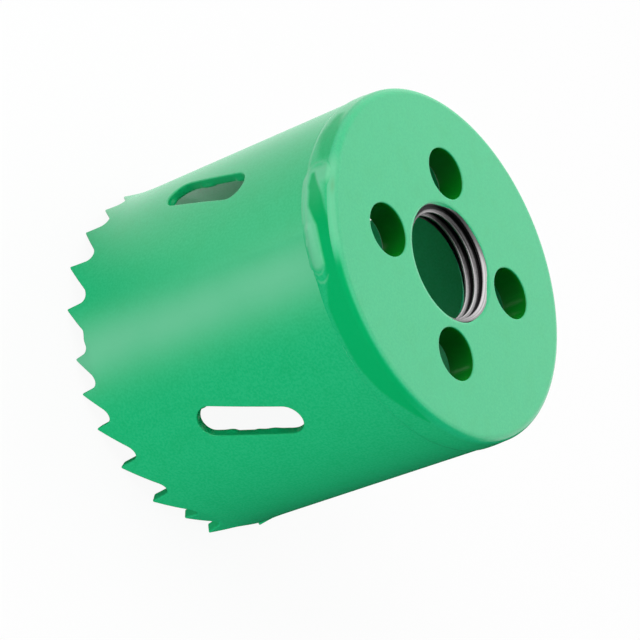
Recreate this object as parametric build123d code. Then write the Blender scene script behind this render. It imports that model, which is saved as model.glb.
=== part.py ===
from build123d import *
from math import asin, atan2, cos, degrees, hypot, pi, radians, sin, sqrt, tan
import os

# Hole saw of the large-arbor type, in millimetres.
# It stands on its tooth tips: they lie in the plane Z = 0, and the saw's axis is +Z, towards the cap.
# Angles are in degrees about +Z from +X, where a pin hole lies. Seen from above the cap, the saw cuts clockwise.

# Overall sizes
shell_diameter = 48.7
wall = 1.3
overall_height = 46.0

# Cap
cap_thickness = 4.0
cap_edge_radius = 1.1
thread_minor_diameter = 14.5
countersink_diameter = 16.9
pin_hole_diameter = 7.2
pin_circle_diameter = 26.2
pin_count = 4

# Weld between the cap's rim and the end of the shell
weld_root_land = 0.3
weld_top_below_face = 1.25
weld_toe_overlap = 0.2
weld_crown = 0.2
weld_flank = 0.5
stop_lump_height = 0.5
stop_lump_length = 9.4
stop_lump_width = 4.4
start_lump_angle = -17.0
end_lump_angle = 2.0
start_lump_below_face = 2.45
end_lump_below_face = 3.2

# Butt seam of the rolled band, ground to a narrow flat
seam_angle = 282.2
seam_flat_depth = 0.1

# Slanted slots for pushing out the plug
slot_count = 4
slot_length = 15.3
slot_width = 4.5
slot_lean = 19.0
slot_centre_below_face = 23.4
slot_gap_at_seam = 81.5
slot_shift_from_seam = 2.0

# Teeth: one group of pitches is repeated round the band, and the seam takes a pitch of its own
tooth_pitches = (4.8, 5.0, 6.15, 6.85, 6.4)
gullet_depths = (2.6, 2.65, 3.35, 3.5, 3.2)
gullet_front_share = 0.15
gullet_back_radius = 1.7
seam_pitch = 7.0
first_tooth_from_seam = 4.7
seam_gullet_depth = 2.42
seam_gullet_radius = 0.85
seam_floor_length = 1.95
seam_stub_height = 0.12
bend_below_floor = 0.1
rake_angle = -6.0
tip_land = 0.22
edge_flare = 0.3
flare_run = 3.0
set_outward = 0.35
set_inward = 0.65
# Each letter is one tooth, from the seam on: O is bent outwards, I is bent inwards, S is straight
tooth_sets = "ISSSSIOIOSIOSIOSIOSISOSSOS"

# Worked out from the sizes above
shell_radius = shell_diameter / 2
inner_radius = shell_radius - wall
cap_underside = overall_height - cap_thickness
weld_top = overall_height - weld_top_below_face
weld_bottom = cap_underside - weld_toe_overlap
weld_root_radius = inner_radius + weld_root_land
deepest_gullet = max(*gullet_depths, seam_gullet_depth)
flare_height = deepest_gullet + flare_run
circumference = pi * shell_diameter
clearance_cut = 1.0


def ring(profile_edges):
    """Turn a closed outline in the XZ plane about the saw's axis."""
    return revolve(make_face(profile_edges), Axis.Z)


def radial_plane(angle, height, radius=shell_radius):
    """A plane square to the radius at this angle: its X runs round the saw and its Y runs up."""
    a = radians(angle)
    return Plane(
        origin=(radius * cos(a), radius * sin(a), height),
        x_dir=(-sin(a), cos(a), 0),
        z_dir=(cos(a), sin(a), 0),
    )


def make_cap():
    """The end plate: bevelled under its rim, rounded at its outer edge, bored and countersunk."""
    bore = thread_minor_diameter / 2
    mouth = countersink_diameter / 2
    face_edge = shell_radius - cap_edge_radius
    arc_middle = cap_edge_radius * sin(radians(45))
    below_mouth = (bore, 0, overall_height - (mouth - bore))
    outline = [
        Polyline(
            (face_edge, 0, overall_height),
            (mouth, 0, overall_height),
            below_mouth,
            (bore, 0, cap_underside),
            (weld_root_radius, 0, cap_underside),
            (shell_radius, 0, weld_top),
            (shell_radius, 0, overall_height - cap_edge_radius),
        ),
        ThreePointArc(
            (shell_radius, 0, overall_height - cap_edge_radius),
            (face_edge + arc_middle, 0, overall_height - cap_edge_radius + arc_middle),
            (face_edge, 0, overall_height),
        ),
    ]
    cap = ring(outline)
    hole = Cylinder(pin_hole_diameter / 2, cap_thickness + 2 * clearance_cut)
    middle = cap_underside + cap_thickness / 2
    for place in PolarLocations(pin_circle_diameter / 2, pin_count):
        cap -= Pos(0, 0, middle) * place * hole
    return cap


def stop_lump(angle, below_face):
    """One lump where the bead starts or stops: a barrel on a shifted axis, so that it fades into the rim."""
    half_angle = stop_lump_length / 2 / shell_radius
    reach = shell_radius + stop_lump_height
    shift = (reach**2 - shell_radius**2) / (2 * (reach - shell_radius * cos(half_angle)))
    barrel_radius = reach - shift
    depth = 2 * stop_lump_height
    middle = overall_height - below_face
    outline = [
        ThreePointArc(
            (barrel_radius - depth, 0, middle - stop_lump_width / 2),
            (barrel_radius, 0, middle),
            (barrel_radius - depth, 0, middle + stop_lump_width / 2),
        ),
        Line(
            (barrel_radius - depth, 0, middle + stop_lump_width / 2),
            (barrel_radius - depth, 0, middle - stop_lump_width / 2),
        ),
    ]
    barrel = Rot(0, 0, angle) * Pos(shift, 0, 0) * ring(outline)
    saw_body = Pos(0, 0, overall_height / 2) * Cylinder(shell_radius, overall_height)
    return barrel - saw_body


def make_weld():
    """The bead: it fills the bevel under the cap's rim, stands a little proud, and has two stop lumps."""
    outline = Polyline(
        (shell_radius, 0, weld_bottom),
        (shell_radius, 0, cap_underside),
        (weld_root_radius, 0, cap_underside),
        (shell_radius, 0, weld_top),
        (shell_radius + weld_crown, 0, weld_top - weld_flank),
        (shell_radius + weld_crown, 0, weld_bottom + weld_flank),
        close=True,
    )
    bead = ring(outline)
    bead += stop_lump(seam_angle + start_lump_angle, start_lump_below_face)
    bead += stop_lump(seam_angle + end_lump_angle, end_lump_below_face)
    return bead


def tooth_layout():
    """Each tooth's tip angle with the pitch and gullet depth before it, from the first tooth after the seam."""
    groups = round((circumference - seam_pitch) / sum(tooth_pitches))
    stretch = (circumference - seam_pitch) / (groups * sum(tooth_pitches))
    layout = [(seam_angle + first_tooth_from_seam, seam_pitch, seam_gullet_depth)]
    for pitch, depth in list(zip(tooth_pitches, gullet_depths)) * groups:
        step = pitch * stretch
        layout.append((layout[-1][0] + degrees(step / shell_radius), step, depth))
    return layout


def polar(centre, radius, turn):
    """A point on a circle, with the turn in radians."""
    return centre[0] + radius * cos(turn), centre[1] + radius * sin(turn)


def gullet_floor(pitch, depth, at_seam):
    """Radius of the arc at the foot of the rake face, and how far its top lies from the tooth's tip."""
    radius = seam_gullet_radius if at_seam else gullet_front_share * pitch
    rake = radians(rake_angle)
    return radius, (depth - radius) * tan(rake) - radius / cos(rake)


def gullet_outline(pitch, depth, at_seam):
    """The gullet before a tooth, unrolled: the tooth's tip is at (0, 0) and the tooth before it at (-pitch, 0).

    The rake face rises from the tip, a tight arc and a wide one make the floor, and the other tooth's back runs down.
    At the seam two arcs leave a low stub between them. An entry of two points is an arc: its middle and its end.
    """
    front_radius, top = gullet_floor(pitch, depth, at_seam)
    back_radius = seam_gullet_radius if at_seam else gullet_back_radius
    back_top = top - seam_floor_length if at_seam else top
    front = top, depth - front_radius
    back = back_top, depth - back_radius
    rake = radians(rake_angle)
    heel = -pitch + tip_land
    reach = hypot(back[0] - heel, back[1])
    slope = atan2(back[1], back[0] - heel) + asin(back_radius / reach)
    up = pi / 2

    steps = [[(0, 0)], [polar(front, front_radius, -rake)]]
    steps.append([polar(front, front_radius, (up - rake) / 2), (top, depth)])
    if at_seam:
        steps.append([((top + back_top) / 2, depth - seam_stub_height)])
        steps.append([(back_top, depth)])
    steps.append([polar(back, back_radius, up + slope / 2), polar(back, back_radius, up + slope)])
    steps += [[(heel, 0)], [(heel, -clearance_cut)], [(0, -clearance_cut)]]
    return steps


def gullet_cutter(tip_angle, pitch, depth, at_seam):
    """A wedge with the gullet's outline that narrows towards the saw's axis, so that its sides are radial."""
    middle = pitch / 2
    outer = shell_radius + edge_flare + set_outward + clearance_cut
    inner = inner_radius - set_inward - clearance_cut
    steps = gullet_outline(pitch, depth, at_seam)

    def on_plane(point, scale):
        turn = (point[0] + middle) / shell_radius
        return scale * shell_radius * tan(turn), scale * point[1] / cos(turn)

    def wire_at(radius):
        scale = radius / shell_radius
        edges = []
        last = on_plane(steps[-1][-1], scale)
        for step in steps:
            points = [on_plane(point, scale) for point in step]
            edges.append(ThreePointArc(last, *points) if len(points) == 2 else Line(last, points[0]))
            last = points[-1]
        plane = radial_plane(tip_angle - degrees(middle / shell_radius), 0, radius)
        return (plane * Wire(edges)).wire()

    return Solid.make_loft([wire_at(inner), wire_at(outer)], ruled=True)


def flare_at(height):
    """How far the wall has spread outwards at this height above the tips."""
    return edge_flare * (1 - height / flare_height)


def tip_offset(index):
    """How far a tooth's tip lies outside the plain wall: the flare, with the tooth's own set."""
    letter = tooth_sets[index % len(tooth_sets)]
    return edge_flare + {"O": set_outward, "I": -set_inward, "S": 0.0}[letter]


def sector(outline, start, end):
    """Turn a closed outline in the XZ plane about the saw's axis, from one angle to another."""
    return Rot(0, 0, start) * revolve(make_face(outline), Axis.Z, end - start)


def leaning_tooth(start, end, bend, offset):
    """The blank of a tooth that leaves the wall at the bend and leans in or out down to its tip."""
    outline = Polyline(
        (inner_radius + flare_at(bend), 0, bend),
        (shell_radius + flare_at(bend), 0, bend),
        (shell_radius + offset, 0, 0),
        (inner_radius + offset, 0, 0),
        close=True,
    )
    return sector(outline, start, end)


def tooth_space(start, end, bend):
    """All the room below the bend between two gullets, through the wall."""
    outside = shell_radius + edge_flare + clearance_cut
    inside = inner_radius - clearance_cut
    outline = Polyline(
        (inside, 0, bend),
        (outside, 0, bend),
        (outside, 0, -clearance_cut),
        (inside, 0, -clearance_cut),
        close=True,
    )
    return sector(outline, start, end)


def cut_teeth(band):
    """Cut the gullets into the band's edge, then bend the teeth that are set in or out."""
    layout = tooth_layout()
    cutters = []
    borders = []
    for index, (angle, pitch, depth) in enumerate(layout):
        radius, floor_top = gullet_floor(pitch, depth, index == 0)
        cutters.append(gullet_cutter(angle, pitch, depth, index == 0))
        borders.append(angle + degrees(floor_top / shell_radius))
    spaces = []
    teeth = []
    for index in range(len(layout)):
        offset = tip_offset(index)
        if offset == edge_flare:
            continue
        following = (index + 1) % len(layout)
        start = borders[index]
        end = borders[following] + (360.0 if following == 0 else 0.0)
        lower_floor = min(layout[index][2], layout[following][2]) * inner_radius / shell_radius
        bend = lower_floor - bend_below_floor
        spaces.append(tooth_space(start, end, bend))
        teeth.append(leaning_tooth(start, end, bend, offset) - cutters[index] - cutters[following])
    return band - cutters - spaces + teeth


def plain_band():
    """The rolled band before its teeth are cut: straight, with a slight flare at its lower end."""
    outline = Polyline(
        (inner_radius, 0, cap_underside),
        (shell_radius, 0, cap_underside),
        (shell_radius, 0, flare_height),
        (shell_radius + edge_flare, 0, 0),
        (inner_radius + edge_flare, 0, 0),
        (inner_radius, 0, flare_height),
        close=True,
    )
    return ring(outline)


def slot_cutters():
    """The slanted slots, spread evenly over the part of the band that is clear of the seam."""
    step = (360 - slot_gap_at_seam) / (slot_count - 1)
    first = seam_angle + slot_gap_at_seam / 2 + slot_shift_from_seam
    cutters = []
    for index in range(slot_count):
        place = radial_plane(first + index * step, overall_height - slot_centre_below_face)
        outline = place * Rot(0, 0, 90 - slot_lean) * SlotOverall(slot_length, slot_width)
        cutters.append(extrude(outline, wall + clearance_cut, both=True))
    return cutters


def seam_grind():
    """What grinding takes off the seam: a narrow upright flat from the tips to the weld."""
    flat = shell_radius - seam_flat_depth
    half_width = sqrt((shell_radius + edge_flare) ** 2 - flat**2) + clearance_cut
    height = weld_bottom + clearance_cut
    block = Box(clearance_cut, 2 * half_width, height, align=(Align.MIN, Align.CENTER, Align.MIN))
    return Rot(0, 0, seam_angle) * Pos(flat, 0, -clearance_cut) * block


def make_shell():
    """The rolled band with its slanted slots, its teeth and its ground seam."""
    band = plain_band() - slot_cutters()
    return cut_teeth(band) - seam_grind()


os.makedirs("parts", exist_ok=True)

end_cap = make_cap()
saw_shell = make_shell()
weld_bead = make_weld()

for name, piece in (("end_cap", end_cap), ("saw_shell", saw_shell), ("weld_bead", weld_bead)):
    export_step(piece, f"parts/{name}.step")
    print(name, "volume", round(piece.volume, 1), "solids", len(piece.solids()))
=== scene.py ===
import logging
from dataclasses import dataclass, field
from enum import Enum
from typing import Any, Callable, Optional, Sequence, Union

import bmesh
import bpy
import numpy as np
from mathutils import Matrix
from mathutils.geometry import delaunay_2d_cdt


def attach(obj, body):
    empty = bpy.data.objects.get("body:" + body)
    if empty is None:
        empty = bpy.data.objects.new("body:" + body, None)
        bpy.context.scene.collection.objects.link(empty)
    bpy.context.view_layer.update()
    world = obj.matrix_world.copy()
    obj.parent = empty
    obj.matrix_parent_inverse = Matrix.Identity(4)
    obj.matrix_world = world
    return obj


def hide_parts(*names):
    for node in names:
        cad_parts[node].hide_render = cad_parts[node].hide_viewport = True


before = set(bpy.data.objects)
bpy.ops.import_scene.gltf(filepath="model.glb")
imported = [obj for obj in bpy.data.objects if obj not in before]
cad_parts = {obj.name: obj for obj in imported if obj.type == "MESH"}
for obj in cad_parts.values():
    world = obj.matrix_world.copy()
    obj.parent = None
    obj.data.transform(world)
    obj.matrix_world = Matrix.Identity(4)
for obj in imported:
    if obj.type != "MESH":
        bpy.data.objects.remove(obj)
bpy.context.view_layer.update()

LOG = logging.getLogger("hole_saw")
METRES = 0.001
MERGE_DISTANCE = 1e-3
FILL_TOLERANCE = 1e-7
NO_AREA = 1e-9
Array = np.ndarray
Socket = bpy.types.NodeSocket
Pair = tuple[float, float]
Triple = tuple[float, float, float]
Colour = Triple
Path = tuple[Triple, ...]
WHITE: Colour = (1.0, 1.0, 1.0)
Mark = Union[float, Array, Callable[[Array], Array]]


@dataclass(frozen=True)
class SawSizes:
    """Sizes that several pieces share, in millimetres and degrees.

    Heights are measured from the tooth tips, and arc lengths on the outer wall from the seam.
    """

    radius: float = 24.35
    wall: float = 1.3
    height: float = 46.0
    cap_thickness: float = 4.0
    rim_radius: float = 1.1
    seam_angle: float = 282.2
    seam_flat: float = 0.1
    seam_soft: float = 0.02
    seam_reach: float = 6.0
    weld_root: float = 23.35

    @property
    def girth(self) -> float:
        """Length of the outer wall all the way round."""
        return 2 * np.pi * self.radius

    def ground(self, arc: Array) -> Array:
        """How far the grinding of the seam cuts into the wall: to a chord, softened where it meets the round."""
        near = np.clip(arc, -self.seam_reach, self.seam_reach)
        chord = (self.radius - self.seam_flat) / np.cos(near / self.radius) - self.radius
        cut = (np.sqrt(chord**2 + self.seam_soft**2) - chord) / 2
        return np.where(np.abs(arc) < self.seam_reach, cut, 0.0)

    def wrap(self, arc: Array, height: Array, radius: Array) -> Array:
        """Roll flat points round the saw's axis: the angle is the arc length over the shell's radius.

        Args:
            arc: Arc lengths from the seam.
            height: Heights above the tooth tips.
            radius: Distances from the saw's axis.

        Returns:
            The points, with x, y and z in the last place.
        """
        turn = np.radians(self.seam_angle) + arc / self.radius
        x, y, z = np.broadcast_arrays(radius * np.cos(turn), radius * np.sin(turn), height)
        return np.stack([x, y, z], axis=-1)


def smoothstep(low: float, high: float, x: Array) -> Array:
    """Cubic step from 0 at low to 1 at high: t squared times (3 - 2t)."""
    t = np.clip((x - low) / (high - low), 0.0, 1.0)
    return t * t * (3 - 2 * t)


def blur(values: Array, step: float, softness: float) -> Array:
    """Blur values that run round a loop with a Gaussian: each Fourier term is times exp(-2 (pi f softness)^2)."""
    frequency = np.fft.rfftfreq(len(values), step)
    terms = np.fft.rfft(values, axis=0) * np.exp(-2 * (np.pi * frequency * softness) ** 2)[:, None]
    return np.fft.irfft(terms, len(values), axis=0)


def smooth_line(line: Array, step: float, softness: float, advance: float = 0.0) -> Array:
    """Space a closed line's points evenly and round its corners with a Gaussian along its length.

    Args:
        line: Points of the line, without its first point again at the end.
        step: Distance between the new points.
        softness: Standard deviation of the Gaussian.
        advance: How far the line goes on in x each time round: 0 for a loop.

    Returns:
        The new points, again without the first one at the end.
    """
    closed = np.vstack([line, line[:1] + [advance, 0.0]])
    runs = np.hypot(*np.diff(closed, axis=0).T)
    along = np.concatenate([[0.0], np.cumsum(runs)])
    count = int(along[-1] / step)
    at = np.arange(count) * along[-1] / count
    points = np.stack([np.interp(at, along, closed[:, k]) for k in (0, 1)], axis=1)
    drift = np.stack([at / along[-1] * advance, np.zeros(count)], axis=1)
    return blur(points - drift, along[-1] / count, softness) + drift


def left_normals(line: Array, advance: float = 0.0, softness: float = 0.3) -> Array:
    """Normals on the left of a closed line, from the chord between each point's neighbours.

    They are blurred along the line, so that they are shorter where it turns sharply and an inset line can't
    cross itself there.

    Args:
        line: Evenly spaced points.
        advance: How far the line goes on in x each time round.
        softness: Standard deviation of the blur.

    Returns:
        One vector a point.
    """
    before = np.vstack([line[-1:] - [advance, 0.0], line[:-1]])
    after = np.vstack([line[1:], line[:1] + [advance, 0.0]])
    chord = after - before
    length = np.hypot(chord[:, 0], chord[:, 1])[:, None]
    chord /= length
    return blur(np.stack([-chord[:, 1], chord[:, 0]], axis=1), float(length.mean()) / 2, softness)


def arc_points(x: float, y: float, radius: float, turn: Array) -> Array:
    """Flat points of an arc: its middle plus the radius times the cosine and sine of each turn."""
    return np.stack([x + radius * np.cos(turn), y + radius * np.sin(turn)], axis=1)


def quarter_turn(radius: float, guard: float, steps: int) -> Array:
    """A rounded edge, as rows of inset and depth: the radius times 1 - sin and 1 - cos, after a flat ring."""
    turn = np.linspace(0, np.pi / 2, steps)
    rows = np.stack([radius * (1 - np.sin(turn)), radius * (1 - np.cos(turn))], axis=1)
    return np.vstack([[radius + guard, 0.0], rows])


def rounded_rim(
    thickness: float, radius: float, guard: float = 0.09, steps: int = 5, middle: int = 3
) -> Array:
    """Section of a sheet's rounded edge: a quarter turn, the straight wall, and a quarter turn.

    Args:
        thickness: Thickness of the sheet.
        radius: Radius of both quarter turns.
        guard: Width of the flat ring beside each turn, which keeps the faces' shading flat.
        steps: Points on each quarter turn.
        middle: Points on the straight wall between them.

    Returns:
        Rows of inset into the sheet and depth below its upper face.
    """
    upper = quarter_turn(radius, guard, steps)
    lower = upper[::-1] * [1, -1] + [0, thickness]
    straight = np.linspace(radius, thickness - radius, middle + 2)[1:-1]
    return np.vstack([upper, np.stack([np.zeros(middle), straight], axis=1), lower])


def fill(loops: Sequence[Array], inside: Array) -> Array:
    """Triangles of a flat sheet: a constrained Delaunay mesh of its edges and the points inside it.

    Args:
        loops: The sheet's outer edge first, and then the edges of its holes.
        inside: Free points on the sheet.

    Returns:
        Three point numbers a row, counting through the loops and then the free points.
    """
    points = np.vstack([*loops, inside])
    owner = np.full(len(points), -1)
    edges: list[tuple[int, int]] = []
    start = 0
    for number, loop in enumerate(loops):
        index = np.arange(len(loop)) + start
        edges += list(zip(index.tolist(), np.roll(index, -1).tolist()))
        owner[index] = number
        start += len(loop)
    made = delaunay_2d_cdt(points.tolist(), edges, [], 1, FILL_TOLERANCE)
    origin = np.array([ids[0] for ids in made[3]])
    triangles = origin[np.array(made[2])]
    owners = owner[triangles]
    in_hole = (owners[:, 0] > 0) & (owners[:, 0] == owners[:, 1]) & (owners[:, 0] == owners[:, 2])
    triangles = triangles[~in_hole]
    a, b, c = (points[triangles[:, k]] for k in range(3))
    area = (b[:, 0] - a[:, 0]) * (c[:, 1] - a[:, 1]) - (b[:, 1] - a[:, 1]) * (c[:, 0] - a[:, 0])
    triangles[area < 0] = triangles[area < 0][:, ::-1]
    return triangles[np.abs(area) > NO_AREA]


def waves(along: Array, terms: Path) -> Array:
    """A sum of sines, each given by its share, how fast it swings and where it starts."""
    return sum(share * np.sin(swings * along + start) for share, swings, start in terms)


class Piece:
    """Gathers the surfaces of one piece, in millimetres, and makes its Blender object."""

    def __init__(self, name: str) -> None:
        """Start with no surfaces."""
        self.name = name
        self.points: list[Array] = []
        self.faces: list[list[int]] = []
        self.marks: dict[str, list[Array]] = {}
        self.count = 0

    def add(self, points: Array, faces: Array, **marks: Array) -> None:
        """Add a surface.

        Args:
            points: Its points, in millimetres.
            faces: Point numbers of each face.
            marks: Named values of its points, for the materials.
        """
        self.points.append(points)
        self.faces += (faces + self.count).tolist()
        for name, values in marks.items():
            earlier = self.marks.setdefault(name, [np.zeros(self.count)])
            earlier.append(np.zeros(self.count - sum(map(len, earlier))))
            earlier.append(np.broadcast_to(values, len(points)).astype(float))
        self.count += len(points)

    def add_grid(self, grid: Array, closed: bool, **marks: Array) -> None:
        """Add a grid of quads, whose rows run down a wall and whose columns run along it.

        Args:
            grid: Points in rows and columns; down crossed with along points out of the piece.
            closed: Whether the last column joins the first.
            marks: Named values in the same rows and columns.
        """
        rows, columns = grid.shape[:2]
        number = np.arange(rows * columns).reshape(rows, columns)
        here = number if closed else number[:, :-1]
        beside = np.roll(number, -1, axis=1) if closed else number[:, 1:]
        quads = np.stack([here[:-1], here[1:], beside[1:], beside[:-1]], axis=-1).reshape(-1, 4)
        flat = {name: np.broadcast_to(value, (rows, columns)).ravel() for name, value in marks.items()}
        self.add(grid.reshape(-1, 3), quads, **flat)

    def build(self, material: bpy.types.Material) -> bpy.types.Object:
        """Make the object, with its surfaces joined where they meet.

        Args:
            material: The piece's finish.

        Returns:
            The object, at the origin, with its place in its mesh.
        """
        mesh = bpy.data.meshes.new(self.name)
        mesh.from_pydata((np.vstack(self.points) * METRES).tolist(), [], self.faces)
        for name, parts in self.marks.items():
            values = np.concatenate([*parts, np.zeros(self.count - sum(map(len, parts)))])
            attribute = mesh.attributes.new(name, "FLOAT", "POINT")
            attribute.data.foreach_set("value", values.astype(np.float32))
        work = bmesh.new()
        work.from_mesh(mesh)
        bmesh.ops.remove_doubles(work, verts=work.verts, dist=MERGE_DISTANCE * METRES)
        open_edges = sum(1 for edge in work.edges if not edge.is_manifold)
        volume = work.calc_volume(signed=True) / METRES**3
        work.to_mesh(mesh)
        work.free()
        mesh.shade_smooth()
        mesh.materials.append(material)
        piece = bpy.data.objects.new(self.name, mesh)
        bpy.context.scene.collection.objects.link(piece)
        report = "%s: %d faces, %.1f cubic mm, %d open edges"
        LOG.info(report, self.name, len(mesh.polygons), volume, open_edges)
        return piece


class Sheet(Piece):
    """A piece cut from sheet: two faces, and a wall with a rounded edge along each loop."""

    def __init__(self, name: str, lay: Callable[[Array, Array], Array]) -> None:
        """Start with no surfaces.

        Args:
            name: Name of the piece.
            lay: Takes flat points and their depths below the upper face, and returns them in space.
        """
        super().__init__(name)
        self.lay = lay

    def add_wall(
        self,
        line: Array,
        rim: Array,
        advance: float = 0.0,
        closed: bool = True,
        swell: Optional[Array] = None,
        **marks: Mark,
    ) -> Array:
        """Carry a rim's section along a line that has the sheet on its left.

        Args:
            line: The sheet's edge, seen flat.
            rim: Rows of inset and depth.
            advance: How far the line goes on in x each time round.
            closed: Whether the last point joins the first; otherwise the line is carried on by one point.
            swell: How far the wall stands out of the sheet at each row and point.
            marks: Named values: one for each row of the rim, one for each row and point, or a rule.

        Returns:
            The flat line where the upper face begins.
        """
        normal = left_normals(line, advance)
        if not closed:
            line = np.vstack([line, line[:1] + [advance, 0.0]])
            normal = np.vstack([normal, normal[:1]])
        inset = rim[:, None, :1] if swell is None else rim[:, None, :1] - swell[..., None]
        flat = line[None] + inset * normal[None]
        depth = np.broadcast_to(rim[:, 1:], flat.shape[:2])
        self.add_grid(self.lay(flat, depth), closed, **self.values(flat, marks))
        return flat[0]

    def add_face(self, loops: Sequence[Array], inside: Array, depth: float, **marks: Mark) -> None:
        """Fill the upper face, at depth 0, or the lower one.

        Args:
            loops: The lines where the face begins, the outer one first.
            inside: Free points on the face.
            depth: Depth of the face.
            marks: Named values: one for the whole face, or a rule.
        """
        triangles = fill(loops, inside)
        flat = np.vstack([*loops, inside])
        outward = triangles[:, ::-1] if depth else triangles
        self.add(self.lay(flat, np.full(len(flat), depth)), outward, **self.values(flat, marks))

    def values(self, flat: Array, marks: dict[str, Mark]) -> dict[str, Array]:
        """Each mark's values at flat points: a rule gives them, and one value a row is spread along the row."""
        found = {name: np.asarray(mark(flat) if callable(mark) else mark) for name, mark in marks.items()}
        rows = flat.ndim == 3
        return {name: value[:, None] if rows and value.ndim == 1 else value for name, value in found.items()}


class Lean(Enum):
    """How far a tooth's tip is bent out of the wall, in millimetres."""

    OUT = 0.35
    IN = -0.65
    STRAIGHT = 0.0


@dataclass
class SawShell:
    """The rolled band: variable-pitch teeth, slanted slots, a ground seam and a slight flare at its edge."""

    saw: SawSizes = field(default_factory=SawSizes)
    pitches: tuple[float, ...] = (4.8, 5.0, 6.15, 6.85, 6.4)
    depths: tuple[float, ...] = (2.6, 2.65, 3.35, 3.5, 3.2)
    groups: int = 5
    seam_pitch: float = 7.0
    seam_depth: float = 2.42
    seam_radius: float = 0.85
    seam_floor: float = 1.95
    seam_stub: float = 0.12
    first_tip_angle: float = 4.7
    front_share: float = 0.15
    back_radius: float = 1.7
    rake: float = -6.0
    tip_land: float = 0.22
    leans: str = "ISSSSIOIOSIOSIOSIOSISOSSOS"
    lean_power: float = 1.25
    lean_blend: float = 0.7
    bend_start: float = 0.7
    flare: float = 0.3
    flare_height: float = 6.5
    flare_power: float = 1.3
    turn_steps: int = 15
    slot_count: int = 4
    slot_length: float = 15.3
    slot_width: float = 4.5
    slot_lean: float = 19.0
    slot_height: float = 22.6
    slot_gap: float = 81.5
    slot_shift: float = 2.0
    slot_step: float = 0.25
    slot_softness: float = 0.1
    slot_turn_steps: int = 25
    sag_depth: float = 0.28
    sag_first: Pair = (0.5, 5)
    sag_waves: Path = ((0.3, 9, 1.3), (0.2, 13, 4.0))
    sag_start: Pair = (-0.1, 0.7)
    sag_band: Pair = (0.35, 0.85)
    slot_wall_shade: float = 0.5
    inside_start: float = 0.3
    thin_place: float = 2.0
    thin_reach: float = 4.5
    paint_radius: float = 0.22
    line_step: float = 0.13
    tip_softness: float = 0.14
    top: float = 42.0
    side_points: int = 60
    top_points: int = 255
    fine: Pair = (0.3, 0.45)
    coarse: Pair = (0.6, 0.9)
    seam_band: float = 5.0
    tooth_band: Pair = (0.3, 8.0)
    first_high_row: float = 8.2
    side_margins: Pair = (0.4, 0.3)
    top_margin: float = 0.4
    edge_margin: float = 0.2
    slot_margin: float = 0.6
    edge_reach: float = 5.0

    def layout(self) -> Array:
        """Rows of tip place, pitch and gullet depth for the teeth in turn, as arc lengths from the seam."""
        stretch = (self.saw.girth - self.seam_pitch) / (self.groups * sum(self.pitches))
        pitch = np.concatenate([[self.seam_pitch], np.tile(self.pitches, self.groups) * stretch])
        depth = np.concatenate([[self.seam_depth], np.tile(self.depths, self.groups)])
        tip = np.radians(self.first_tip_angle) * self.saw.radius + np.cumsum(pitch) - pitch[0]
        return np.stack([tip, pitch, depth], axis=1)

    def gullet(self, tip: float, pitch: float, depth: float, at_seam: bool) -> Array:
        """The edge from the tooth before to this tooth's tip: a straight back, two arcs and the rake face.

        Args:
            tip: Place of this tooth's tip.
            pitch: Distance from the tip before.
            depth: Height of the gullet's floor above the tips.
            at_seam: Whether the seam lies in it; its two arcs then leave a low stub between them.

        Returns:
            Points of the edge from the foot of the other tooth's back.
        """
        rake = np.radians(self.rake)
        front_radius = self.seam_radius if at_seam else self.front_share * pitch
        back_radius = self.seam_radius if at_seam else self.back_radius
        front_x = (depth - front_radius) * np.tan(rake) - front_radius / np.cos(rake)
        back_x = front_x - self.seam_floor if at_seam else front_x
        heel = -pitch + self.tip_land
        rise = depth - back_radius
        reach = np.hypot(back_x - heel, rise)
        slope = np.arctan2(rise, back_x - heel) + np.arcsin(back_radius / reach)
        back = np.pi / 2 + slope * np.linspace(1, 0, self.turn_steps)
        front = np.linspace(np.pi / 2, -rake, self.turn_steps)
        stub = [[[(front_x + back_x) / 2, depth - self.seam_stub]]] if at_seam else []
        parts = [
            [[heel, 0.0]],
            arc_points(back_x, rise, back_radius, back),
            *stub,
            arc_points(front_x, depth - front_radius, front_radius, front),
            [[0.0, 0.0]],
        ]
        return np.vstack(parts) + [tip, 0.0]

    def tooth_line(self) -> Array:
        """The toothed edge once round, starting on a gullet's floor far from the seam."""
        teeth = self.layout()
        raw = np.vstack([self.gullet(*tooth, at_seam=index == 0) for index, tooth in enumerate(teeth)])
        line = smooth_line(raw, self.line_step, self.tip_softness, self.saw.girth)
        line[:, 1] -= line[:, 1].min()
        far = np.abs(line[:, 0] - self.saw.girth / 2) < self.pitches[-1] / 2
        start = int(np.argmax(np.where(far, line[:, 1], -1.0)))
        return np.vstack([line[start:] - [self.saw.girth, 0.0], line[:start]])

    def slot_places(self) -> Array:
        """Arc length from the seam to each slot's middle, between minus and plus half the girth."""
        step = (360 - self.slot_gap) / (self.slot_count - 1)
        angle = self.slot_gap / 2 + self.slot_shift + step * np.arange(self.slot_count)
        angle = (angle + 180) % 360 - 180
        return np.radians(angle) * self.saw.radius

    def slot_axis(self) -> Array:
        """Direction of a slot's long side: its upper end leans towards larger angles."""
        lean = np.radians(self.slot_lean)
        return np.array([np.sin(lean), np.cos(lean)])

    def slot_line(self, place: float) -> Array:
        """A slot's edge, clockwise, so that the sheet is on its left: two half circles and two straight runs."""
        along = self.slot_axis()
        across = np.array([along[1], -along[0]])
        half = (self.slot_length - self.slot_width) / 2
        turn = np.linspace(0, np.pi, self.slot_turn_steps)
        end = self.slot_width / 2 * (np.cos(turn)[:, None] * -across + np.sin(turn)[:, None] * along)
        raw = np.vstack([end + half * along, -end - half * along]) + [place, self.slot_height]
        return smooth_line(raw, self.slot_step, self.slot_softness)

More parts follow.
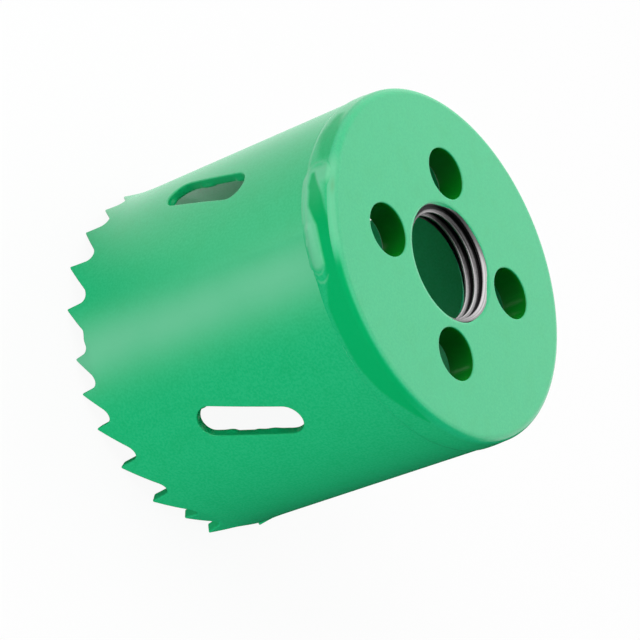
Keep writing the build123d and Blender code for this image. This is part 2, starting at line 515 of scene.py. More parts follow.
    def sag(self, line: Array, rim: Array) -> Array:
        """How far the paint has sagged from a slot's inner edge: three sines along it, where they add up.

        Args:
            line: The slot's edge, seen flat.
            rim: Rows of inset and depth.

        Returns:
            Distances out of the sheet, at each row and point. The last row stays put, to meet the inner face.
        """
        along = np.arange(len(line)) / len(line) * 2 * np.pi
        drops = waves(along, ((*self.sag_first, line[0, 0]), *self.sag_waves))
        inner = smoothstep(*self.sag_band, rim[:, 1] / self.saw.wall)
        inner[-1] = 0.0
        return self.sag_depth * inner[:, None] * smoothstep(*self.sag_start, drops)

    def spread(self, arc: Array, height: Array, depth: Array) -> Array:
        """How far a point of the band lies outside the plain tube.

        The flare and a tooth's lean each grow as a power of the way down to the tips; the lean starts a little
        above the tooth's gullet. Neighbours' leans blend across each gullet. The ground seam is taken off.

        Args:
            arc: Arc lengths from the seam.
            height: Heights above the tips.
            depth: Depths below the outer wall.

        Returns:
            Distances along the radius.
        """
        girth = self.saw.girth
        teeth = self.layout()
        arc = (arc + girth / 2) % girth - girth / 2
        borders = teeth[:, 0] - self.front_share * teeth[:, 1]
        borders = np.append(borders, borders[0] + girth)
        leans = {"O": Lean.OUT, "I": Lean.IN, "S": Lean.STRAIGHT}
        lean = np.zeros(np.broadcast(arc, height).shape)
        floor = np.zeros(lean.shape)
        blend = self.lean_blend
        for index, letter in enumerate(self.leans):
            for turn in (-girth, 0.0):
                past = [smoothstep(-blend, blend, arc - border - turn) for border in borders[index : index + 2]]
                lean += leans[letter].value * (past[0] - past[1])
                floor += (teeth[index, 2] + self.bend_start) * (past[0] - past[1])
        bent = np.clip((floor - height) / np.maximum(floor, self.bend_start), 0.0, 1.0)
        flared = np.clip(1 - height / self.flare_height, 0.0, 1.0)
        ground = self.saw.ground(arc) * (1 - depth / self.saw.wall)
        return self.flare * flared**self.flare_power + lean * bent**self.lean_power - ground

    def lay(self, flat: Array, depth: Array) -> Array:
        """Roll flat points of the band into place: the radius is the wall's, less the depth, plus the spread."""
        arc, height = flat[..., 0], flat[..., 1]
        return self.saw.wrap(arc, height, self.saw.radius - depth + self.spread(arc, height, depth))

    def inner_points(self, edge: Array, left: float) -> Array:
        """Free points of the band's face, closer together by the teeth and over the seam.

        Args:
            edge: The line where the face begins above the teeth.
            left: Arc length of the face's left side.

        Returns:
            Points that keep clear of every edge.
        """
        around = left + np.arange(self.side_margins[0], self.saw.girth - self.side_margins[1], self.coarse[0])
        seam = np.arange(-self.seam_band, self.seam_band, self.fine[0])
        columns = np.unique(np.round(np.concatenate([seam, around]), 3))
        low = np.arange(*self.tooth_band, self.fine[1])
        rows = np.concatenate([low, np.arange(self.first_high_row, self.top - self.top_margin, self.coarse[1])])
        arc, height = (part.ravel() for part in np.meshgrid(columns, rows))
        order = np.argsort(edge[:, 0])
        keep = height > np.interp(arc, edge[order, 0], edge[order, 1]) + self.edge_margin
        near = height < self.edge_reach
        gaps = np.hypot(arc[near, None] - edge[None, :, 0], height[near, None] - edge[None, :, 1]).min(axis=1)
        keep[near] &= gaps > 2 * self.line_step
        along = self.slot_axis()
        half = (self.slot_length - self.slot_width) / 2
        for place in self.slot_places():
            x, z = arc - place, height - self.slot_height
            run = np.clip(x * along[0] + z * along[1], -half, half)
            away = np.hypot(x - run * along[0], z - run * along[1])
            keep &= away > self.slot_width / 2 + self.slot_margin
        return np.stack([arc[keep], height[keep]], axis=1)

    def seam_sheen(self, flat: Array) -> Array:
        """Painted sheen over the ground seam: a bell a little beside it, which lightens the paint there."""
        return np.exp(-(((flat[..., 0] - self.thin_place) / self.thin_reach) ** 2))

    def build(self, finish: "Enamel") -> bpy.types.Object:
        """Make the shell.

        Args:
            finish: The paint.

        Returns:
            The piece that stands for the CAD shell.
        """
        sheet = Sheet("painted_shell", self.lay)
        rim = rounded_rim(self.saw.wall, self.paint_radius)
        depth = np.minimum(rim[:, 1], self.saw.wall - rim[:, 1])
        cut = smoothstep(0.0, self.paint_radius, depth)
        inner = smoothstep(self.inside_start, 1.0, rim[:, 1] / self.saw.wall)
        # Beside the ground seam the paint is lightened as a painted sheen; lower rows keep less coat.
        marks = {"thin": self.seam_sheen, "lower": inner}
        # The cut walls round the teeth are painted darker, as painted shade of the rounded edges.
        edge = sheet.add_wall(self.tooth_line(), rim, self.saw.girth, closed=False, edge=cut, **marks)
        left, right = edge[0, 0], edge[-1, 0]
        rise = np.linspace(edge[0, 1], self.top, self.side_points)[1:-1]
        across = np.linspace(right, left, self.top_points)
        top = np.stack([across, np.full(len(across), self.top)], axis=1)
        sheet.add_grid(self.lay(top[None], np.array([[0.0], [self.saw.wall]])), closed=False)
        sides = [np.stack([np.full(len(rise), x), z], axis=1) for x, z in ((right, rise), (left, rise[::-1]))]
        loops = [np.vstack([edge, sides[0], top, sides[1]])]
        # The slot walls are painted darker and keep less coat, as painted shade in the slots.
        shaded = cut * self.slot_wall_shade
        for place in self.slot_places():
            line = self.slot_line(place)
            loops.append(sheet.add_wall(line, rim, swell=self.sag(line, rim), edge=shaded, pool=shaded, **marks))
        inside = self.inner_points(edge, left)
        sheet.add_face(loops, inside, 0.0, thin=self.seam_sheen)
        sheet.add_face(loops, inside, self.saw.wall, thin=self.seam_sheen, lower=1.0)
        return dress(sheet.build(finish.material()), "saw_shell")


@dataclass(frozen=True)
class RimMark:
    """A mark on the cap's rim: where it comes up and dies away, in degrees, how far it reaches in, and its amount."""

    start: Pair
    end: Pair
    inset: Pair
    amount: float = 1.0

    def values(self, angle: Array, inset: Array) -> Array:
        """The mark's amount, times one smooth step for each end and for the inner border."""
        along = self.amount * smoothstep(*self.start, angle) * (1 - smoothstep(*self.end, angle))
        return along * (1 - smoothstep(*self.inset, inset))


@dataclass
class EndCap:
    """The end plate: a flat face with a rounded rim, four pin holes and a threaded bore, bare where it is cut."""

    saw: SawSizes = field(default_factory=SawSizes)
    crest_radius: float = 7.25
    root_radius: float = 7.94
    pitch: float = 1.411
    mouth_radius: float = 8.3
    mouth_slope: float = 0.95
    far_bevel: float = 0.35
    far_slope: float = 1.2
    blunting: Pair = (1.35, 0.16)
    wander: Path = ((0.05, 3, 1.0), (0.04, 7, 0.4))
    wander_start: float = 0.3
    scores: tuple[tuple[float, float, float, float], ...] = ((0.5, 3, 0.3, 2), (0.3, 5, 1.9, 3), (0.2, 8, 4.0, 5))
    score_swing: float = 0.8
    bare_border: float = 0.25
    bare_wander: float = 1.6
    bare_ends: Pair = (0.05, 0.06)
    pin_circle: float = 13.1
    pin_radius: float = 3.6
    pin_count: int = 4
    paint_radius: float = 0.2
    columns: int = 240
    thread_rows: int = 150
    rim_columns: int = 360
    pin_columns: int = 96
    rings: Pair = (8.7, 22.9)
    ring_step: float = 0.7
    ring_density: float = 8.0
    weld_top: float = 1.25
    # Marks of painted light on the rim: painted highlight, painted shade, and a dimple's painted shade.
    thin: RimMark = RimMark((250.0, 258.0), (280.0, 290.0), (0.50, 1.10), 0.6)
    pool: RimMark = RimMark((284.0, 291.0), (332.0, 356.0), (0.25, 0.50))
    dimple: tuple[Pair, Pair] = ((264.5, 0.40), (2.6, 0.20))
    dimple_shade: float = 0.8

    def lay(self, flat: Array, depth: Array) -> Array:
        """Flat points keep their x and y, and the depth is taken from the saw's height."""
        return np.stack([flat[..., 0], flat[..., 1], self.saw.height - depth], axis=-1)

    def circle(self, radius: float, count: int, x: float = 0.0, y: float = 0.0, clockwise: bool = False) -> Array:
        """Points of a circle; a hole's runs clockwise, so that the sheet is on its left."""
        return arc_points(x, y, radius, np.arange(count) / count * 2 * np.pi * (-1 if clockwise else 1))

    def outer_rim(self) -> Array:
        """Rows of inset and depth from the face, over the rounded rim and down the bevel for the weld."""
        rounded = quarter_turn(self.saw.rim_radius, guard=0.12, steps=13)
        bevel = self.saw.radius - self.saw.weld_root
        return np.vstack([rounded, [0.0, self.weld_top], [bevel, self.saw.cap_thickness]])

    def bore(self) -> tuple[Array, dict[str, Array]]:
        """The threaded wall.

        The thread's radius swings between crest and root as a triangle wave with blunted ends, whose phase is
        less by the depth over the pitch and by the turn over a full circle, which makes a right-hand thread. The
        mouth is a cone that cuts the thread away near the face, and a shorter one does the same at the far end.
        The tool's scores run along the thread: a sum of sines of whole multiples of the phase.

        Returns:
            The grid of points, and its marks: how bare each point is, how near a crest, and how scored.
        """
        turn = -np.arange(self.columns) / self.columns * 2 * np.pi
        depth = np.linspace(0, self.saw.cap_thickness, self.thread_rows)[:, None]
        phase = (-depth / self.pitch - turn[None] / (2 * np.pi)) % 1.0
        wave = np.clip(np.abs(phase - 0.5) * 2 * self.blunting[0] - self.blunting[1], 0.0, 1.0)
        thread = self.crest_radius + (self.root_radius - self.crest_radius) * wave
        wander = waves(turn, self.wander)
        mouth = self.mouth_radius + wander * smoothstep(0, self.wander_start, depth) - self.mouth_slope * depth
        far = self.crest_radius + self.far_bevel - self.far_slope * (self.saw.cap_thickness - depth)
        radius = np.maximum(np.maximum(thread, mouth), far)
        radius[-1] = self.crest_radius + self.far_bevel
        points = np.broadcast_arrays(radius * np.cos(turn), radius * np.sin(turn), self.saw.height - depth)
        scores = sum(
            share * np.sin(2 * np.pi * times * phase + start + self.score_swing * np.sin(turn * swings))
            for share, times, start, swings in self.scores
        )
        ends = zip(self.bare_ends, (depth, self.saw.cap_thickness - depth))
        within = np.prod([smoothstep(0.0, border, away) for border, away in ends], axis=0)
        marks = {
            "bare": smoothstep(0.0, self.bare_border, depth + self.bare_wander * wander) * within,
            "crest": np.broadcast_to(1 - wave, radius.shape),
            "score": scores,
        }
        return np.stack(points, axis=-1), marks

    def build(self, finish: "Enamel") -> bpy.types.Object:
        """Make the cap.

        Args:
            finish: The paint, with the bare steel that shows in the bore.

        Returns:
            The piece that stands for the CAD cap.
        """
        sheet = Sheet("painted_cap", self.lay)
        thickness = self.saw.cap_thickness
        outer = self.outer_rim()
        angle = np.arange(self.rim_columns) * 360 / self.rim_columns
        inset = outer[:, :1]
        # The rim is painted lighter from 250 to 290 degrees, as painted highlight, and darker on its side from 284 to
        # 356 degrees, as painted shade; a dark spot at 264.5 degrees is the painted shade of a dimple that has no
        # relief.
        place, reach = self.dimple
        bell = np.exp(-(((angle - place[0]) / reach[0]) ** 2) - ((inset - place[1]) / reach[1]) ** 2)
        hole = self.dimple_shade * bell
        marks = {"pool": self.pool.values(angle, inset), "thin": self.thin.values(angle, inset), "hole": hole}
        upper = sheet.add_wall(self.circle(self.saw.radius, self.rim_columns), outer, **marks)
        lower = self.circle(self.saw.weld_root, self.rim_columns)
        grid, marks = self.bore()
        sheet.add_grid(grid, closed=True, **marks)
        rim = rounded_rim(thickness, self.paint_radius)
        down = smoothstep(0.0, self.paint_radius, rim[:, 1])
        rings = np.arange(*self.rings, self.ring_step)
        inside = np.vstack([self.circle(ring, int(ring * self.ring_density)) for ring in rings])
        holes = []
        for x, y in self.circle(self.pin_circle, self.pin_count):
            line = self.circle(self.pin_radius, self.pin_columns, x, y, clockwise=True)
            # The pin holes' walls are painted darker, as painted shade in the holes.
            holes.append(sheet.add_wall(line, rim, hole=down))
            inside = inside[np.hypot(*(inside - [x, y]).T) > self.pin_radius + self.ring_step]
        sheet.add_face([upper, grid[0, :, :2], *holes], inside, 0.0)
        sheet.add_face([lower, grid[-1, :, :2], *holes], inside, thickness)
        return dress(sheet.build(finish.material()), "end_cap")


class Strokes:
    """Brush strokes of one kind on the weld's patch: paths of places, each with the stroke's half width there."""

    def __init__(self, *paths: Path, soft: float, height: float = 0.0, bright: float = 0.0) -> None:
        """Keep the paths, the width of their soft border, the height of the relief and how much painted highlight
        they carry.
        """
        self.paths, self.soft, self.height, self.bright = paths, soft, height, bright

    def beyond(self, x: Array, y: Array, path: Path) -> Array:
        """Distance beyond one stroke: the least, over its runs, of the distance less the half width there."""
        least = np.full(np.broadcast(x, y).shape, np.inf)
        for (x0, y0, w0), (x1, y1, w1) in zip(path, path[1:]):
            run = (x1 - x0) ** 2 + (y1 - y0) ** 2
            share = np.clip(((x - x0) * (x1 - x0) + (y - y0) * (y1 - y0)) / run, 0.0, 1.0)
            away = np.hypot(x - x0 - share * (x1 - x0), y - y0 - share * (y1 - y0))
            least = np.minimum(least, away - w0 - share * (w1 - w0))
        return least

    def values(self, x: Array, y: Array) -> Array:
        """The strokes' strength: 1 on each and 0 beyond its soft border, added up."""
        half = self.soft / 2
        return sum(1 - smoothstep(-half, half, self.beyond(x, y, path)) for path in self.paths)


@dataclass
class WeldBead:
    """The filler bead round the cap: nearly flush, with a raised patch where the welder started and stopped."""

    saw: SawSizes = field(default_factory=SawSizes)
    bottom: float = 40.7
    toe: float = 41.4
    top: float = 45.7
    crown: float = 0.13
    hidden: tuple[Pair, ...] = ((40.7, 23.9), (42.1, 23.35), (45.7, 23.5))
    columns: int = 1400
    rows: int = 56
    sink: float = 0.03
    toe_soft: float = 0.9
    crown_fade: Pair = (1.3, 0.3)
    ground_fade: float = 1.2
    end_fades: Pair = (0.5, 0.8)
    waver: Path = ((0.12, 1 / 3.1, 0.0), (0.1, 1 / 1.7, 2.0))
    toe_waver: float = 0.5
    ripple: float = 0.004
    ripple_length: float = 0.9
    ripple_bow: Pair = (2.2, 1.6)
    # The raised strokes carry a painted highlight; the groove, the drip and the run before them carry painted shade.
    mound: Strokes = Strokes(
        ((-9.4, 1.5, 1.3), (-9.2, 3.0, 1.6), (-5.0, 3.2, 1.5), (-1.0, 3.3, 1.4), (1.6, 3.2, 1.2)),
        soft=1.5,
        height=0.16,
        bright=0.75,
    )
    groove: Strokes = Strokes(
        (
            (-9.9, 3.10, 0.35), (-8.3, 3.00, 0.75), (-6.4, 2.40, 0.85), (-4.0, 1.95, 0.85), (-1.6, 1.55, 1.00),
            (0.4, 1.25, 1.20), (2.6, 1.25, 1.15), (4.6, 1.35, 1.35), (8.0, 1.90, 1.90), (16.0, 1.90, 1.85),
            (20.0, 1.70, 1.45), (24.0, 1.30, 0.80), (28.0, 1.10, 0.10),
        ),
        soft=0.5,
        height=-0.12,
    )
    drip: Strokes = Strokes(((-7.6, 3.0, 0.60), (-5.6, 3.1, 0.60), (-3.6, 2.5, 0.50), (-1.8, 1.9, 0.40)), soft=0.5)
    shade_patch: Strokes = Strokes(((-21.0, 2.2, 0.6), (-17.0, 2.1, 1.5), (-13.2, 1.7, 1.2)), soft=1.2)
    roll: Strokes = Strokes(
        (
            (-9.9, 0.50, 0.10), (-10.9, 1.15, 0.10), (-11.5, 1.90, 0.12), (-11.6, 2.80, 0.12),
            (-11.2, 3.60, 0.14), (-10.2, 4.30, 0.14), (-8.5, 4.60, 0.14), (-3.5, 4.70, 0.10),
        ),
        soft=0.7,
        height=0.07,
        bright=0.3,
    )
    lobe: Strokes = Strokes(
        ((-2.6, 3.9, 0.45), (0.0, 3.8, 0.60), (2.4, 3.4, 0.55)), soft=1.2, height=0.10, bright=0.6
    )
    dots: Strokes = Strokes(
        ((-2.6, 3.7, 0.10), (-2.2, 3.9, 0.14)),
        ((-1.1, 4.5, 0.08), (-0.6, 4.6, 0.14)),
        ((4.0, 2.3, 0.01), (4.5, 2.7, 0.05), (4.7, 3.2, 0.09), (4.6, 3.7, 0.06), (4.2, 4.1, 0.01)),
        ((3.2, 2.8, 0.00), (3.6, 3.2, 0.03), (3.6, 3.7, 0.03), (3.2, 4.2, 0.00)),
        ((1.2, 4.6, 0.00), (2.2, 4.7, 0.03), (3.0, 4.6, 0.03), (3.8, 4.3, 0.00)),
        soft=0.5,
        height=0.05,
        bright=0.8,
    )
    groove_run: Pair = (-9.0, -2.5)
    groove_start: float = 0.80
    lobe_cover: float = 0.8
    shade_patch_depth: float = 0.5
    hole_shade_run: Pair = (-5.0, 1.0)
    hole_shade_amount: float = 0.12

    def patch(self, arc: Array, depth: Array) -> tuple[Array, dict[str, Array]]:
        """The start and stop patch, drawn with strokes.

        It is a low mound with a rolled edge. A groove that the paint has filled slants across it, deeper as it
        goes, and widens into the sunken run beside it. A small lobe lies under the groove's end, with a few
        raised dots and crescents of spatter. The groove and a run before it are painted darker, as painted
        shade, and the raised strokes lighter, as painted highlight.

        Args:
            arc: Arc lengths from the seam.
            depth: Depths below the cap's face.

        Returns:
            The patch's relief as a distance along the radius, and the marks for the material: painted shade and
            painted highlight.
        """
        kinds = (self.mound, self.roll, self.lobe, self.dots)
        mound, roll, lobe, dots = (kind.values(arc, depth) for kind in kinds)
        groove = np.maximum(self.groove.values(arc, depth), self.drip.values(arc, depth))
        relief = self.mound.height * mound + self.groove.height * groove * mound
        relief = relief + self.roll.height * roll + self.lobe.height * lobe + self.dots.height * dots
        depth_along = self.groove_start + (1 - self.groove_start) * smoothstep(*self.groove_run, arc)
        # Painted shade in the groove, the drip and the run before them, less under the lobe and the dots.
        sunk = groove * depth_along * (1 - self.lobe_cover * lobe) * (1 - np.clip(dots, 0, 1))
        sunk = np.maximum(sunk, self.shade_patch_depth * self.shade_patch.values(arc, depth))
        # Painted highlight on the raised strokes, none where the shade lies.
        shares = (kind.bright * drawn for kind, drawn in zip(kinds, (mound, roll, lobe, dots)))
        bright = np.clip(sum(shares), 0, 1) * (1 - sunk)
        # More painted shade along the groove's start.
        hole = self.hole_shade_amount * groove * (1 - smoothstep(*self.hole_shade_run, arc)) * (1 - lobe)
        return relief, {"pool": sunk, "thin": bright, "hole": hole}

    def build(self, finish: "Enamel") -> bpy.types.Object:
        """Make the bead.

        The section runs down the outside, from just inside the cap's rounded rim to just inside the shell's wall,
        and back up inside them.

        Args:
            finish: The paint.

        Returns:
            The piece that stands for the CAD bead.
        """
        piece = Piece("painted_weld")
        arc = np.linspace(0, self.saw.girth, self.columns, endpoint=False)[None] - self.saw.girth / 2
        height = np.linspace(self.top, self.bottom, self.rows)[:, None]
        fall = np.clip(height - (self.saw.height - self.saw.rim_radius), 0, None)
        carrier = self.saw.radius - self.saw.rim_radius + np.sqrt(self.saw.rim_radius**2 - fall**2)
        wave = waves(arc, self.waver)
        up = smoothstep(self.toe, self.toe + self.toe_soft, height + self.toe_waver * wave)
        down = 1 - smoothstep(self.toe + self.crown_fade[0], self.top - self.crown_fade[1], height + wave)
        bow = self.ripple_bow[0] * np.cos(height * self.ripple_bow[1])
        grain = self.ripple * np.sin(arc * 2 * np.pi / self.ripple_length + bow) * down
        relief, drawn = self.patch(arc, self.saw.height - height)
        low, high = self.end_fades
        ends = smoothstep(0, low, height - self.bottom) * smoothstep(0, high, self.top - height)
        lift = up * (self.sink + self.crown * down + grain) + relief
        cut = self.saw.ground(arc) * (1 - smoothstep(self.toe, self.toe + self.ground_fade, height))
        radius = carrier - self.sink - cut + lift * ends
        outer = self.saw.wrap(arc, height, radius)
        section = np.array(self.hidden)
        inner = self.saw.wrap(arc, section[:, :1], section[:, 1:])
        ring = np.concatenate([outer, inner, outer[:1]])
        plain = np.zeros(inner.shape[:2])
        marks = {name: np.concatenate([value, plain, value[:1]]) for name, value in drawn.items()}
        piece.add_grid(ring, closed=True, **marks)
        return dress(piece.build(finish.material()), "weld_bead")


def dress(piece: bpy.types.Object, node: str) -> bpy.types.Object:
    """Let a piece stand for a CAD node: it rides on the body and replaces the node, which is hidden."""
    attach(piece, "root")
    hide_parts(node)
    return piece


Operand = Union["Value", float, int]


class Value:
    """A shader socket that carries one number, with arithmetic that adds Math nodes."""

    def __init__(self, shader: "Shader", socket: Socket) -> None:
        """Wrap an output socket of a shader."""
        self.shader = shader
        self.socket = socket

    def _math(self, operation: str, first: Operand, second: Operand) -> "Value":
        """Add one Math node."""
        node = self.shader.node("ShaderNodeMath", {"operation": operation}, {0: first, 1: second})
        return Value(self.shader, node.outputs[0])

    def __add__(self, other: Operand) -> "Value":
        """Sum."""
        return self._math("ADD", self, other)

    __radd__ = __add__

    def __mul__(self, other: Operand) -> "Value":
        """Product."""
        return self._math("MULTIPLY", self, other)

    __rmul__ = __mul__

    def __sub__(self, other: Operand) -> "Value":
        """Difference."""
        return self._math("SUBTRACT", self, other)

    def __rsub__(self, other: Operand) -> "Value":
        """Difference, with the number first."""
        return self._math("SUBTRACT", other, self)

    def step(self, low: float, high: float) -> "Value":
        """Smooth step from 0 at low to 1 at high."""
        settings = {"interpolation_type": "SMOOTHSTEP"}
        node = self.shader.node("ShaderNodeMapRange", settings, {0: self, 1: low, 2: high, 3: 0.0, 4: 1.0})
        return Value(self.shader, node.outputs[0])


class Shader:
    """A material's or the world's node tree, with one method that adds a node."""

    def __init__(self, owner: Union[bpy.types.Material, bpy.types.World]) -> None:
        """Empty the owner's node tree."""
        owner.use_nodes = True
        self.tree = owner.node_tree
        self.tree.nodes.clear()

    def node(self, kind: str, settings: dict[str, Any], inputs: dict[Any, Any]) -> bpy.types.Node:
        """Add a node.

        Args:
            kind: The node's type.
            settings: Its own settings, which are set first.
            inputs: Values or links of its sockets, by name or number.

        Returns:
            The new node.
        """
        node = self.tree.nodes.new(kind)
        for name, value in settings.items():
            setattr(node, name, value)
        for name, value in inputs.items():
            socket = node.inputs[name]
            if isinstance(value, Value):
                self.tree.links.new(value.socket, socket)
            elif isinstance(value, Socket):
                self.tree.links.new(value, socket)
            else:
                socket.default_value = value
        return node

    def coordinates(self) -> Socket:
        """The piece's own coordinates, in metres."""
        return self.node("ShaderNodeTexCoord", {}, {}).outputs["Object"]

    def noise(self, size: float, detail: float = 2.0, roughness: float = 0.5) -> Value:
        """Noise from 0 to 1 whose spots are about the given size across, in millimetres."""
        inputs = {
            "Vector": self.coordinates(),
            "Scale": 1 / (size * METRES),
            "Detail": detail,
            "Roughness": roughness,
        }
        return Value(self, self.node("ShaderNodeTexNoise", {}, inputs).outputs[0])

    def mark(self, name: str) -> Value:
        """A named value of the mesh; 0 where the piece doesn't have it."""
        node = self.node("ShaderNodeAttribute", {"attribute_name": name}, {})
        return Value(self, node.outputs["Fac"])

    def mix(self, amount: Operand, first: Any, second: Any) -> Socket:
        """Blend two colours, from the first at 0 to the second at 1."""
        inputs = {"Factor": amount, 6: opaque(first), 7: opaque(second)}
        return self.node("ShaderNodeMix", {"data_type": "RGBA"}, inputs).outputs[2]

    def bump(self, height: Value, distance: float) -> Socket:
        """A bumped normal; the distance is the height of a full step, in millimetres."""
        return self.node("ShaderNodeBump", {}, {"Height": height, "Distance": distance * METRES}).outputs[0]

    def ray(self, kind: str) -> Value:
        """1 for the rays of this kind, and 0 for the others."""
        return Value(self, self.node("ShaderNodeLightPath", {}, {}).outputs[kind])

    def graded(self, grade: Pair, bright: Colour, dark: Colour, even: Colour) -> Socket:
        """A glow from bright to dark along x for what the paint mirrors, and even for what surfaces scatter."""
        across = Value(self, self.node("ShaderNodeSeparateXYZ", {}, {0: self.coordinates()}).outputs[0])
        return self.mix(self.ray("Is Diffuse Ray"), self.mix(across.step(*grade), bright, dark), even)

    def end(self, kind: str, surface: Socket) -> None:
        """Link the surface to the output node of this kind."""
        self.node(kind, {}, {"Surface": surface})


def opaque(colour: Any) -> Any:
    """Give a plain colour its alpha, and pass a link through."""
    return (*colour, 1.0) if isinstance(colour, tuple) else colour


@dataclass(frozen=True)
class Enamel:
    """Gloss green enamel over steel, with the bare cut steel that a bore keeps. Its gloss is all in the coat."""

    name: str
    colour: Colour = (0.004, 0.400, 0.142)
    # The darker tone, for random patches and for painted shade.
    deep: Colour = (0.001, 0.340, 0.098)
    light: Colour = (0.014, 0.450, 0.180)
    # Near-black green: painted shade in the pin holes, a dimple and the groove's start.
    hollow_shade: Colour = (0.001, 0.165, 0.008)
    # Pale green: painted sheen and highlight.
    pale: Colour = (0.125, 0.500, 0.270)
    steel: Colour = (0.48, 0.465, 0.47)
    # Near black: painted shade in the thread's roots.
    root_shade_steel: Colour = (0.012, 0.011, 0.012)
    roughness: float = 0.30
    coat_roughness: float = 0.27
    grain_height: float = 0.010
    slow_size: float = 9.0
    patch_size: float = 2.6
    fine_size: float = 0.32
    score_size: float = 0.25
    slow_light: float = 0.08
    fine_light: float = 0.6
    patch_deep: float = 0.18
    # Strengths of the painted shade and the painted sheen:
    pool_deep: float = 0.9
    edge_shade: float = 0.5
    thin_pale: Pair = (0.75, 0.3)
    bare_ragged: float = 0.7
    crest_score: float = 0.3
    crest_ragged: float = 0.2
    patch_rough: float = 0.06
    bare_rough: float = 0.1
    pool_dull: float = 0.95
    lower_dull: float = 0.35

    def material(self) -> bpy.types.Material:
        """Make the material.

        Slow and fine noise make the paint a little uneven. Painted shade deepens it on the side of the cap's rim,
        on the slot walls and in the weld's groove, more in the pin holes, a dimple and the groove's start, and over
        the cut edges. Painted sheen and highlight lighten it beside the ground seam, on the cap's rounded rim and on
        the weld's raised strokes. The mark bare takes it off, and in the bore the thread's roots are near black, as
        painted shade, while its crests keep the steel's colour. Less of the coat is left where the shade on the rim,
        the slot walls and the groove lies, and on a lower face.

        Returns:
            The new material.
        """
        material = bpy.data.materials.new(self.name)
        shader = Shader(material)
        slow = shader.noise(self.slow_size)
        patchy = shader.noise(self.patch_size, 3.0)
        fine = shader.noise(self.fine_size, 1.0)
        pool = shader.mark("pool")
        light = slow.step(0.3, 0.75) * self.slow_light + fine.step(0.3, 0.7) * self.fine_light
        colour = shader.mix(light, self.colour, self.light)
        colour = shader.mix(patchy.step(0.45, 0.8) * self.patch_deep, colour, self.deep)
        # Painted shade on the side of the cap's rim, on the slot walls and in the weld's groove.
        colour = shader.mix(pool * self.pool_deep, colour, self.deep)
        # More painted shade in the pin holes, a dimple and the groove's start.
        colour = shader.mix(shader.mark("hole"), colour, self.hollow_shade)
        # Painted sheen and highlight beside the ground seam, on the cap's rim and on the weld's raised strokes.
        colour = shader.mix(shader.mark("thin") * (slow * self.thin_pale[1] + self.thin_pale[0]), colour, self.pale)
        # Painted shade over the cut edges.
        colour = shader.mix(shader.mark("edge") * self.edge_shade, colour, self.deep)
        scored = shader.noise(self.score_size, 3.0, 0.6)
        ragged = scored - 0.5
        bare = (shader.mark("bare") + ragged * self.bare_ragged).step(0.35, 0.65)
        # The thread's roots are painted near black, as painted shade, and its crests keep the steel's colour; the
        # scores break up the border.
        crest = shader.mark("crest") + shader.mark("score") * self.crest_score + ragged * self.crest_ragged
        bright = crest.step(0.35, 1.1)
        colour = shader.mix(bare, colour, shader.mix(bright, self.root_shade_steel, self.steel))
        inputs = {
            "Base Color": colour,
            "Metallic": bare,
            "Roughness": self.roughness + patchy * self.patch_rough + bare * self.bare_rough,
            "Specular IOR Level": 0.0,
            "Coat Weight": (1 - bare) * (1 - pool * self.pool_dull) * (1 - shader.mark("lower") * self.lower_dull),
            "Coat Roughness": self.coat_roughness,
            "Normal": shader.bump(fine * (1 - bare) + scored * bare, self.grain_height),
        }
        principled = shader.node("ShaderNodeBsdfPrincipled", {}, inputs)
        shader.end("ShaderNodeOutputMaterial", principled.outputs[0])
        return material


@dataclass(frozen=True)
class Lamp:
    """A rectangular lamp: its way from the saw in degrees, its sizes in metres and its power in watts."""

    name: str
    turn: float
    rise: float
    distance: float
    width: float
    height: float
    power: float


def placed(right: Sequence[float], up: Sequence[float], back: Sequence[float], at: Sequence[float]) -> Matrix:
    """The placing of a camera or lamp: its own x, y and z axes and its place, as columns."""
    matrix = np.eye(4)
    matrix[:3] = np.array([right, up, back, at]).T
    return Matrix(matrix.tolist())


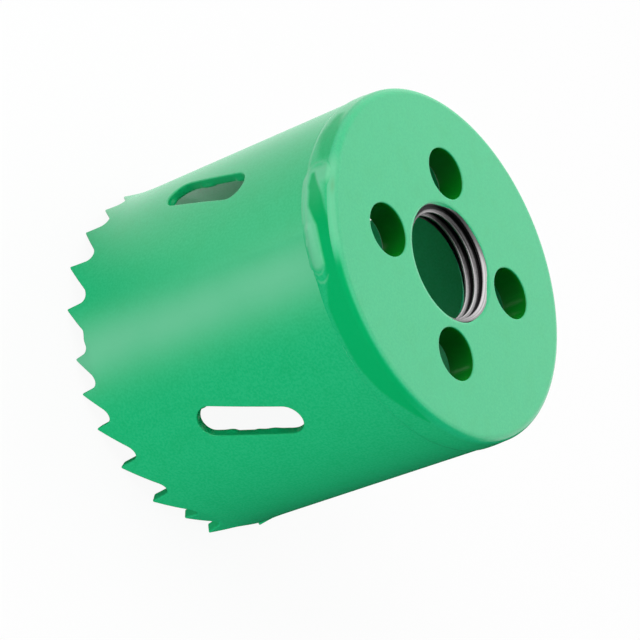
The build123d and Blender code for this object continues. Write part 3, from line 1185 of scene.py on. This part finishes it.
@dataclass
class Studio:
    """The camera, the floor and the lamps."""

    eye: Triple = (0.150874, -0.2514554, 0.2292344)
    right: Triple = (0.030623, 0.643746, 0.764626)
    down: Triple = (0.907654, 0.302464, -0.290999)
    forward: Triple = (-0.418602, 0.702927, -0.575036)
    lens: float = 148.7504
    sensor: float = 36.0
    floor_half: float = 0.6
    floor_shade: float = 0.07
    floor_colour: Colour = (0.80, 0.80, 0.80)
    aim: float = 0.023
    table_light: Colour = (0.60, 0.64, 0.68)
    table_bright: Colour = (1.10, 1.12, 1.12)
    table_dark: Colour = (0.01, 0.01, 0.01)
    table_grade: Pair = (-0.025, 0.0)
    sky_light: Colour = (0.12, 0.12, 0.12)
    sky_bright: Colour = (1.75, 1.75, 1.75)
    sky_dark: Colour = (0.05, 0.05, 0.05)
    sky_grade: Pair = (0.15, 0.45)
    lamps: tuple[Lamp, ...] = (
        Lamp("front", turn=322, rise=3, distance=0.4, width=0.40, height=0.07, power=1.10),
        Lamp("side", turn=225, rise=35, distance=0.5, width=0.45, height=0.45, power=1.65),
        Lamp("overhead", turn=120, rise=90, distance=0.5, width=0.5, height=0.5, power=1.22),
        Lamp("back", turn=120, rise=45, distance=0.6, width=0.50, height=0.80, power=1.55),
    )

    def camera(self) -> None:
        """Place the camera of the photograph, from the directions of its right, down and forward."""
        data = bpy.data.cameras.new("camera")
        data.lens = self.lens
        data.sensor_width = self.sensor
        camera = bpy.data.objects.new("camera", data)
        camera.matrix_world = placed(self.right, np.negative(self.down), np.negative(self.forward), self.eye)
        bpy.context.scene.collection.objects.link(camera)
        bpy.context.scene.camera = camera

    def floor(self) -> None:
        """Lay the floor, a light table.

        To the camera it is white, with a share of its own light and shade. To the light that the saw scatters it
        glows evenly, which lights the inside through the open end. To what the paint mirrors it is graded from
        bright to dark along x, so that the sheen lies where it does on the real one.
        """
        half = self.floor_half
        mesh = bpy.data.meshes.new("floor")
        corners = [(-half, -half, 0.0), (half, -half, 0.0), (half, half, 0.0), (-half, half, 0.0)]
        mesh.from_pydata(corners, [], [(0, 1, 2, 3)])
        floor = bpy.data.objects.new("floor", mesh)
        bpy.context.scene.collection.objects.link(floor)
        material = bpy.data.materials.new("floor")
        shader = Shader(material)
        glow = shader.graded(self.table_grade, self.table_bright, self.table_dark, self.table_light)
        graded = shader.node("ShaderNodeEmission", {}, {"Color": glow}).outputs[0]
        plain = shader.node("ShaderNodeBsdfDiffuse", {}, {"Color": opaque(self.floor_colour)}).outputs[0]
        white = shader.node("ShaderNodeEmission", {}, {"Color": opaque(WHITE)}).outputs[0]
        pale = shader.node("ShaderNodeMixShader", {}, {0: self.floor_shade, 1: white, 2: plain}).outputs[0]
        inputs = {0: shader.ray("Is Camera Ray"), 1: graded, 2: pale}
        shader.end("ShaderNodeOutputMaterial", shader.node("ShaderNodeMixShader", {}, inputs).outputs[0])
        mesh.materials.append(material)

    def hang(self, lamp: Lamp) -> None:
        """Hang a lamp so that it faces the saw. It isn't seen itself: the paint mirrors the sky and the table."""
        turn, rise = np.radians(lamp.turn), np.radians(lamp.rise)
        outward = np.array([np.cos(turn) * np.cos(rise), np.sin(turn) * np.cos(rise), np.sin(rise)])
        side = np.array([-np.sin(turn), np.cos(turn), 0.0])
        data = bpy.data.lights.new(lamp.name, "AREA")
        data.shape = "RECTANGLE"
        data.size, data.size_y = lamp.width, lamp.height
        data.energy = lamp.power
        lit = bpy.data.objects.new(lamp.name, data)
        place = lamp.distance * outward + [0.0, 0.0, self.aim]
        lit.matrix_world = placed(side, np.cross(outward, side), outward, place)
        lit.visible_camera = lit.visible_glossy = False
        bpy.context.scene.collection.objects.link(lit)

    def world(self) -> None:
        """Fill the sky.

        It is white to the camera and a soft even light to what the saw scatters. To what the paint mirrors it is
        graded from bright to dark across x, as the table is.
        """
        world = bpy.data.worlds.new("studio")
        bpy.context.scene.world = world
        shader = Shader(world)
        glow = shader.graded(self.sky_grade, self.sky_bright, self.sky_dark, self.sky_light)
        colour = shader.mix(shader.ray("Is Camera Ray"), glow, WHITE)
        light = shader.node("ShaderNodeBackground", {}, {"Color": colour}).outputs[0]
        shader.end("ShaderNodeOutputWorld", light)

    def build(self) -> None:
        """Set up everything round the saw."""
        self.camera()
        self.floor()
        self.world()
        for lamp in self.lamps:
            self.hang(lamp)
        bpy.context.scene.view_settings.view_transform = "Standard"


def main() -> None:
    """Build the pieces in order, then the studio."""
    logging.basicConfig(level=logging.INFO, format="%(name)s %(message)s")
    saw = SawSizes()
    SawShell(saw).build(Enamel("shell_enamel"))
    EndCap(saw).build(Enamel("cap_enamel", colour=(0.006, 0.400, 0.165)))
    WeldBead(saw).build(Enamel("weld_enamel"))
    Studio().build()


if __name__ == "__main__":
    main()
